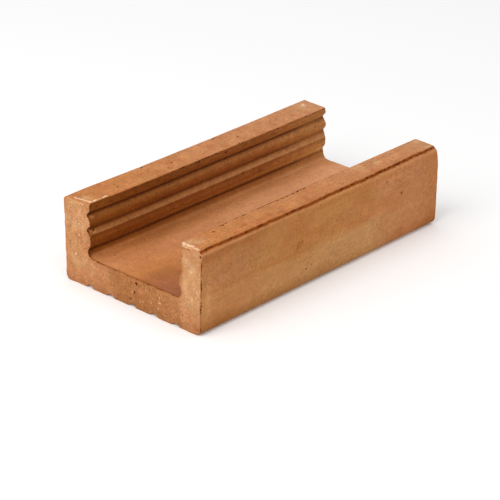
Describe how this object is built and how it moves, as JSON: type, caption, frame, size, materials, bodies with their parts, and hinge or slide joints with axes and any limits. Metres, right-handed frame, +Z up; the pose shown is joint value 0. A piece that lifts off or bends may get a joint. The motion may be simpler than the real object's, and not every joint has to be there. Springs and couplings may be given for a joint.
{
  "type": "ceramic lintel",
  "caption": "U-shaped extruded fired-clay lintel channel, laid end to end and filled with bars and concrete over an opening.",
  "frame": {"origin": "middle of the underside, between both ends and both side faces", "axes": "+X along the channel, +Y across from wall to wall, +Z up, from the underside to the wall tops"},
  "size_m": [0.25, 0.13, 0.0625],
  "materials": {
    "fired_clay": "matte"
  },
  "bodies": {
    "root": {"lintel_channel": "fired_clay"}
  },
  "joints": []
}
